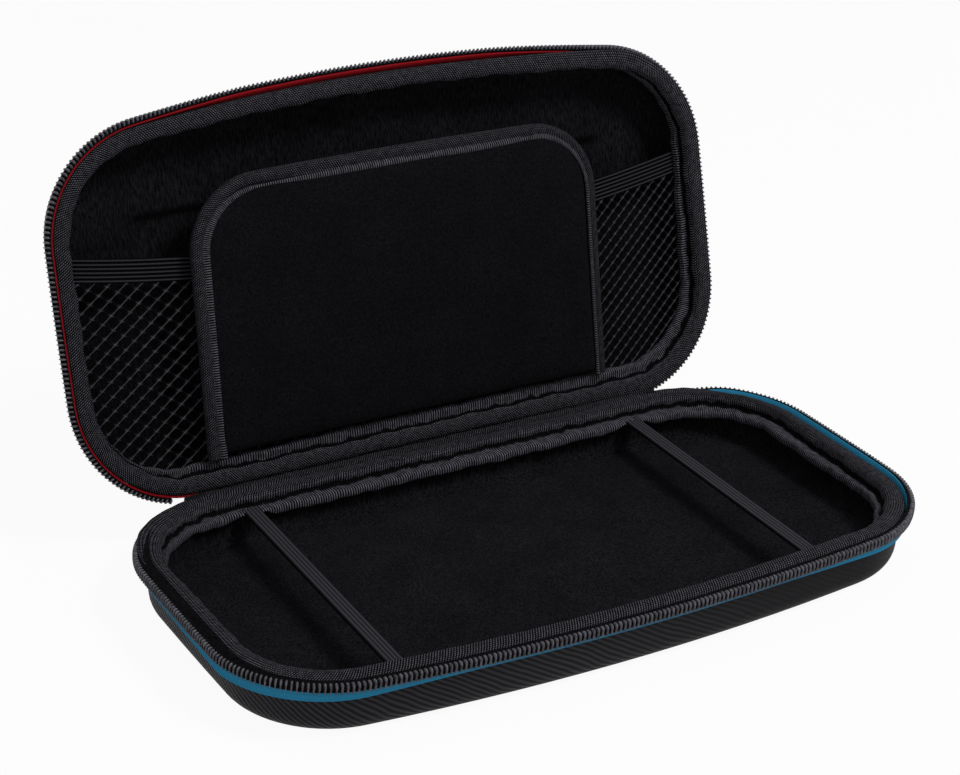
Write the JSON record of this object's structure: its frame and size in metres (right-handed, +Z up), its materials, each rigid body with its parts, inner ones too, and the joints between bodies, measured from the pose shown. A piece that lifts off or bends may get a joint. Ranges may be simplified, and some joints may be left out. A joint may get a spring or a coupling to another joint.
{
  "type": "portable game console case",
  "caption": "Zippered clamshell case with a moulded base and lid, elastic straps over the tray, and a padded flap and mesh pocket in the lid.",
  "frame": {"origin": "middle of the case's length and width on the flat foot of the base", "axes": "+X along the case, to the right in the picture; +Y towards the hinge; +Z up"},
  "size_m": [0.266, 0.204, 0.1513],
  "materials": {
    "shell_cloth": "matte ribbed cloth over moulded foam",
    "lining_cloth": "brushed pile",
    "binding_tape": "woven herringbone tape",
    "blue_tape": "woven zip tape",
    "red_tape": "woven zip tape",
    "zip_nylon": "dyed nylon",
    "elastic": "ribbed woven elastic",
    "net": "knitted net",
    "black_metal": "satin black paint"
  },
  "bodies": {
    "base": {"base_shell": "shell_cloth", "base_lining": "lining_cloth", "base_binding": "binding_tape", "base_zip_tape": "blue_tape", "base_zip_coil": "zip_nylon", "strap_left": "elastic", "strap_right": "elastic", "hinge_gusset": "binding_tape", "zip_slider": "black_metal", "zip_end_stop": "black_metal"},
    "lid": {"lid_shell": "shell_cloth", "lid_lining": "lining_cloth", "lid_binding": "binding_tape", "lid_zip_tape": "red_tape", "lid_zip_coil": "zip_nylon", "pocket_mesh": "net", "pocket_hem": "elastic", "flap_panel": "lining_cloth", "flap_binding": "binding_tape"},
    "pull": {"zip_pull": "black_metal"}
  },
  "joints": [
    {"name": "lid_hinge", "type": "hinge", "parent": "base", "child": "lid", "pos_m": [0, 0.069, 0.0155], "axis": [-1, 0, 0], "range_deg": [-105, 25], "deforming": ["hinge_gusset"]},
    {"name": "pull_swing", "type": "hinge", "parent": "base", "child": "pull", "pos_m": [-0.09487, 0.07065, 0.01895], "axis": [1, 0, 0], "range_deg": [-6, 20]}
  ]
}
